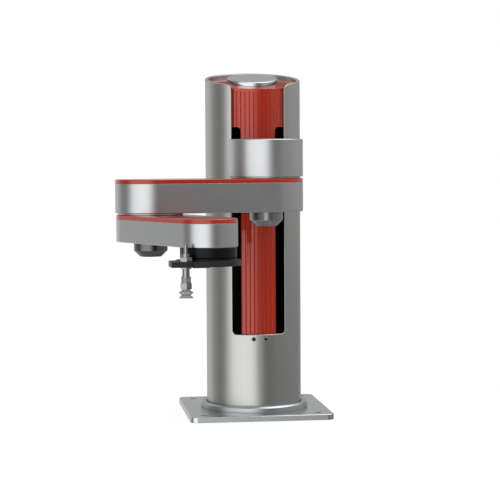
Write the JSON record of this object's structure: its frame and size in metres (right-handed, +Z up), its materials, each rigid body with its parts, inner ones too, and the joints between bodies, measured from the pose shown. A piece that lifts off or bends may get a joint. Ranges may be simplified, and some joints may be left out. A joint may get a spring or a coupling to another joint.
{
  "type": "collaborative robot",
  "caption": "Desktop column robot: carriage on a ball screw in a slotted column, two horizontal swinging arms, turning wrist with a spring-buffered suction rod.",
  "frame": {"origin": "centre of the base plate's bolt pattern, on the plate's underside", "axes": "+Z up along the column, -Y forward through the slot, +X to the right seen from the back"},
  "size_m": [0.3035, 0.4676, 0.4851],
  "materials": {
    "silver_shell": "satin silver paint",
    "silver_arm": "satin silver paint",
    "red_plastic": "satin red, moulded",
    "plate_metal": "fine brushed, clear coated",
    "ring_metal": "satin turned",
    "boss_grey": "dark grey, semi gloss",
    "black_metal": "black, satin",
    "frame_black": "black anodised, matt",
    "rail_black": "black surface-treated steel",
    "dark_steel": "machined",
    "bright_steel": "ground",
    "nickel": "nickel plated",
    "motor_black": "black",
    "motor_alu": "cast",
    "board_green": "coated board",
    "belt_rubber": "matt",
    "cup_rubber": "grey translucent silicone",
    "socket_black": "matt"
  },
  "bodies": {
    "base": {"base_plate": "plate_metal", "base_screws": "dark_steel", "foot_ring": "ring_metal", "column_floor": "dark_steel", "column_shell": "silver_shell", "front_screws": "dark_steel", "column_cover": "red_plastic", "cap_disc": "ring_metal", "mast": "frame_black", "lower_bearing_block": "frame_black", "upper_bearing_block": "frame_black", "screw_bearings": "bright_steel", "z_motor": "motor_black", "guide_rail_left": "rail_black", "guide_rail_right": "rail_black", "controller_board": "board_green", "board_standoffs": "nickel", "power_socket": "socket_black", "signal_socket": "socket_black"},
    "screw": {"ball_screw": "bright_steel", "shaft_coupling": "motor_alu"},
    "carriage": {"carriage_block": "frame_black", "ball_nut": "bright_steel", "rail_block_left": "dark_steel", "rail_block_right": "dark_steel", "carriage_arm_left": "frame_black", "carriage_arm_right": "frame_black", "arm_bolts": "dark_steel", "drum_housing": "silver_arm", "shoulder_bearing": "bright_steel", "shoulder_drive": "motor_alu"},
    "upper_arm": {"upper_arm_housing": "silver_arm", "upper_arm_cover": "red_plastic", "shoulder_shaft": "frame_black", "shoulder_boss": "boss_grey", "elbow_bearing": "bright_steel", "elbow_drive": "motor_alu"},
    "forearm": {"forearm_housing": "silver_arm", "forearm_cover": "red_plastic", "elbow_shaft": "frame_black", "elbow_boss": "boss_grey", "wrist_motor": "motor_black", "wrist_belt": "belt_rubber", "wrist_body": "black_metal", "wrist_bearing": "bright_steel"},
    "wrist_motor_pulley": {"motor_pulley": "motor_alu"},
    "wrist": {"wrist_pulley": "motor_alu", "wrist_spindle": "bright_steel", "output_flange": "black_metal", "tool_bracket": "black_metal", "bracket_screws": "dark_steel", "rod_sleeve": "nickel", "upper_lock_nut": "nickel", "lower_lock_nut": "nickel", "buffer_spring": "bright_steel"},
    "suction_rod": {"suction_rod": "nickel", "rod_collar": "nickel", "knurled_sleeve": "nickel", "rod_hex": "nickel", "suction_cup": "cup_rubber"}
  },
  "joints": [
    {"name": "z_slide", "type": "slide", "parent": "base", "child": "carriage", "axis": [0, 0, 1], "range_m": [-0.175, 0.015]},
    {"name": "screw_spin", "type": "hinge", "parent": "base", "child": "screw", "pos_m": [0, 0, 0.104], "axis": [0, 0, 1], "range_deg": [-541, 6301]},
    {"name": "shoulder", "type": "hinge", "parent": "carriage", "child": "upper_arm", "pos_m": [0, -0.1383, 0.3354], "axis": [0, 0, 1], "range_deg": [-5.3, 164.7]},
    {"name": "elbow", "type": "hinge", "parent": "upper_arm", "child": "forearm", "pos_m": [-0.15742, -0.16691, 0.2889], "axis": [0, 0, 1], "range_deg": [-205.2, 0.8]},
    {"name": "wrist", "type": "hinge", "parent": "forearm", "child": "wrist", "pos_m": [-0.09619, -0.31473, 0.241], "axis": [0, 0, 1], "range_deg": [-45.12, 174.88]},
    {"name": "motor_pulley_spin", "type": "hinge", "parent": "forearm", "child": "wrist_motor_pulley", "pos_m": [-0.12145, -0.25375, 0.271], "axis": [0, 0, 1], "range_deg": [-92, 351]},
    {"name": "rod_slide", "type": "slide", "parent": "wrist", "child": "suction_rod", "axis": [0, 0, 1], "range_m": [0, 0.004], "stiffness_N_per_m": 400, "springref_m": -0.004, "deforming": ["buffer_spring"]}
  ],
  "couplings": [
    {"joint": "screw_spin", "follows": "z_slide", "rad_per_m": -628.32},
    {"joint": "motor_pulley_spin", "follows": "wrist", "ratio": 2}
  ]
}
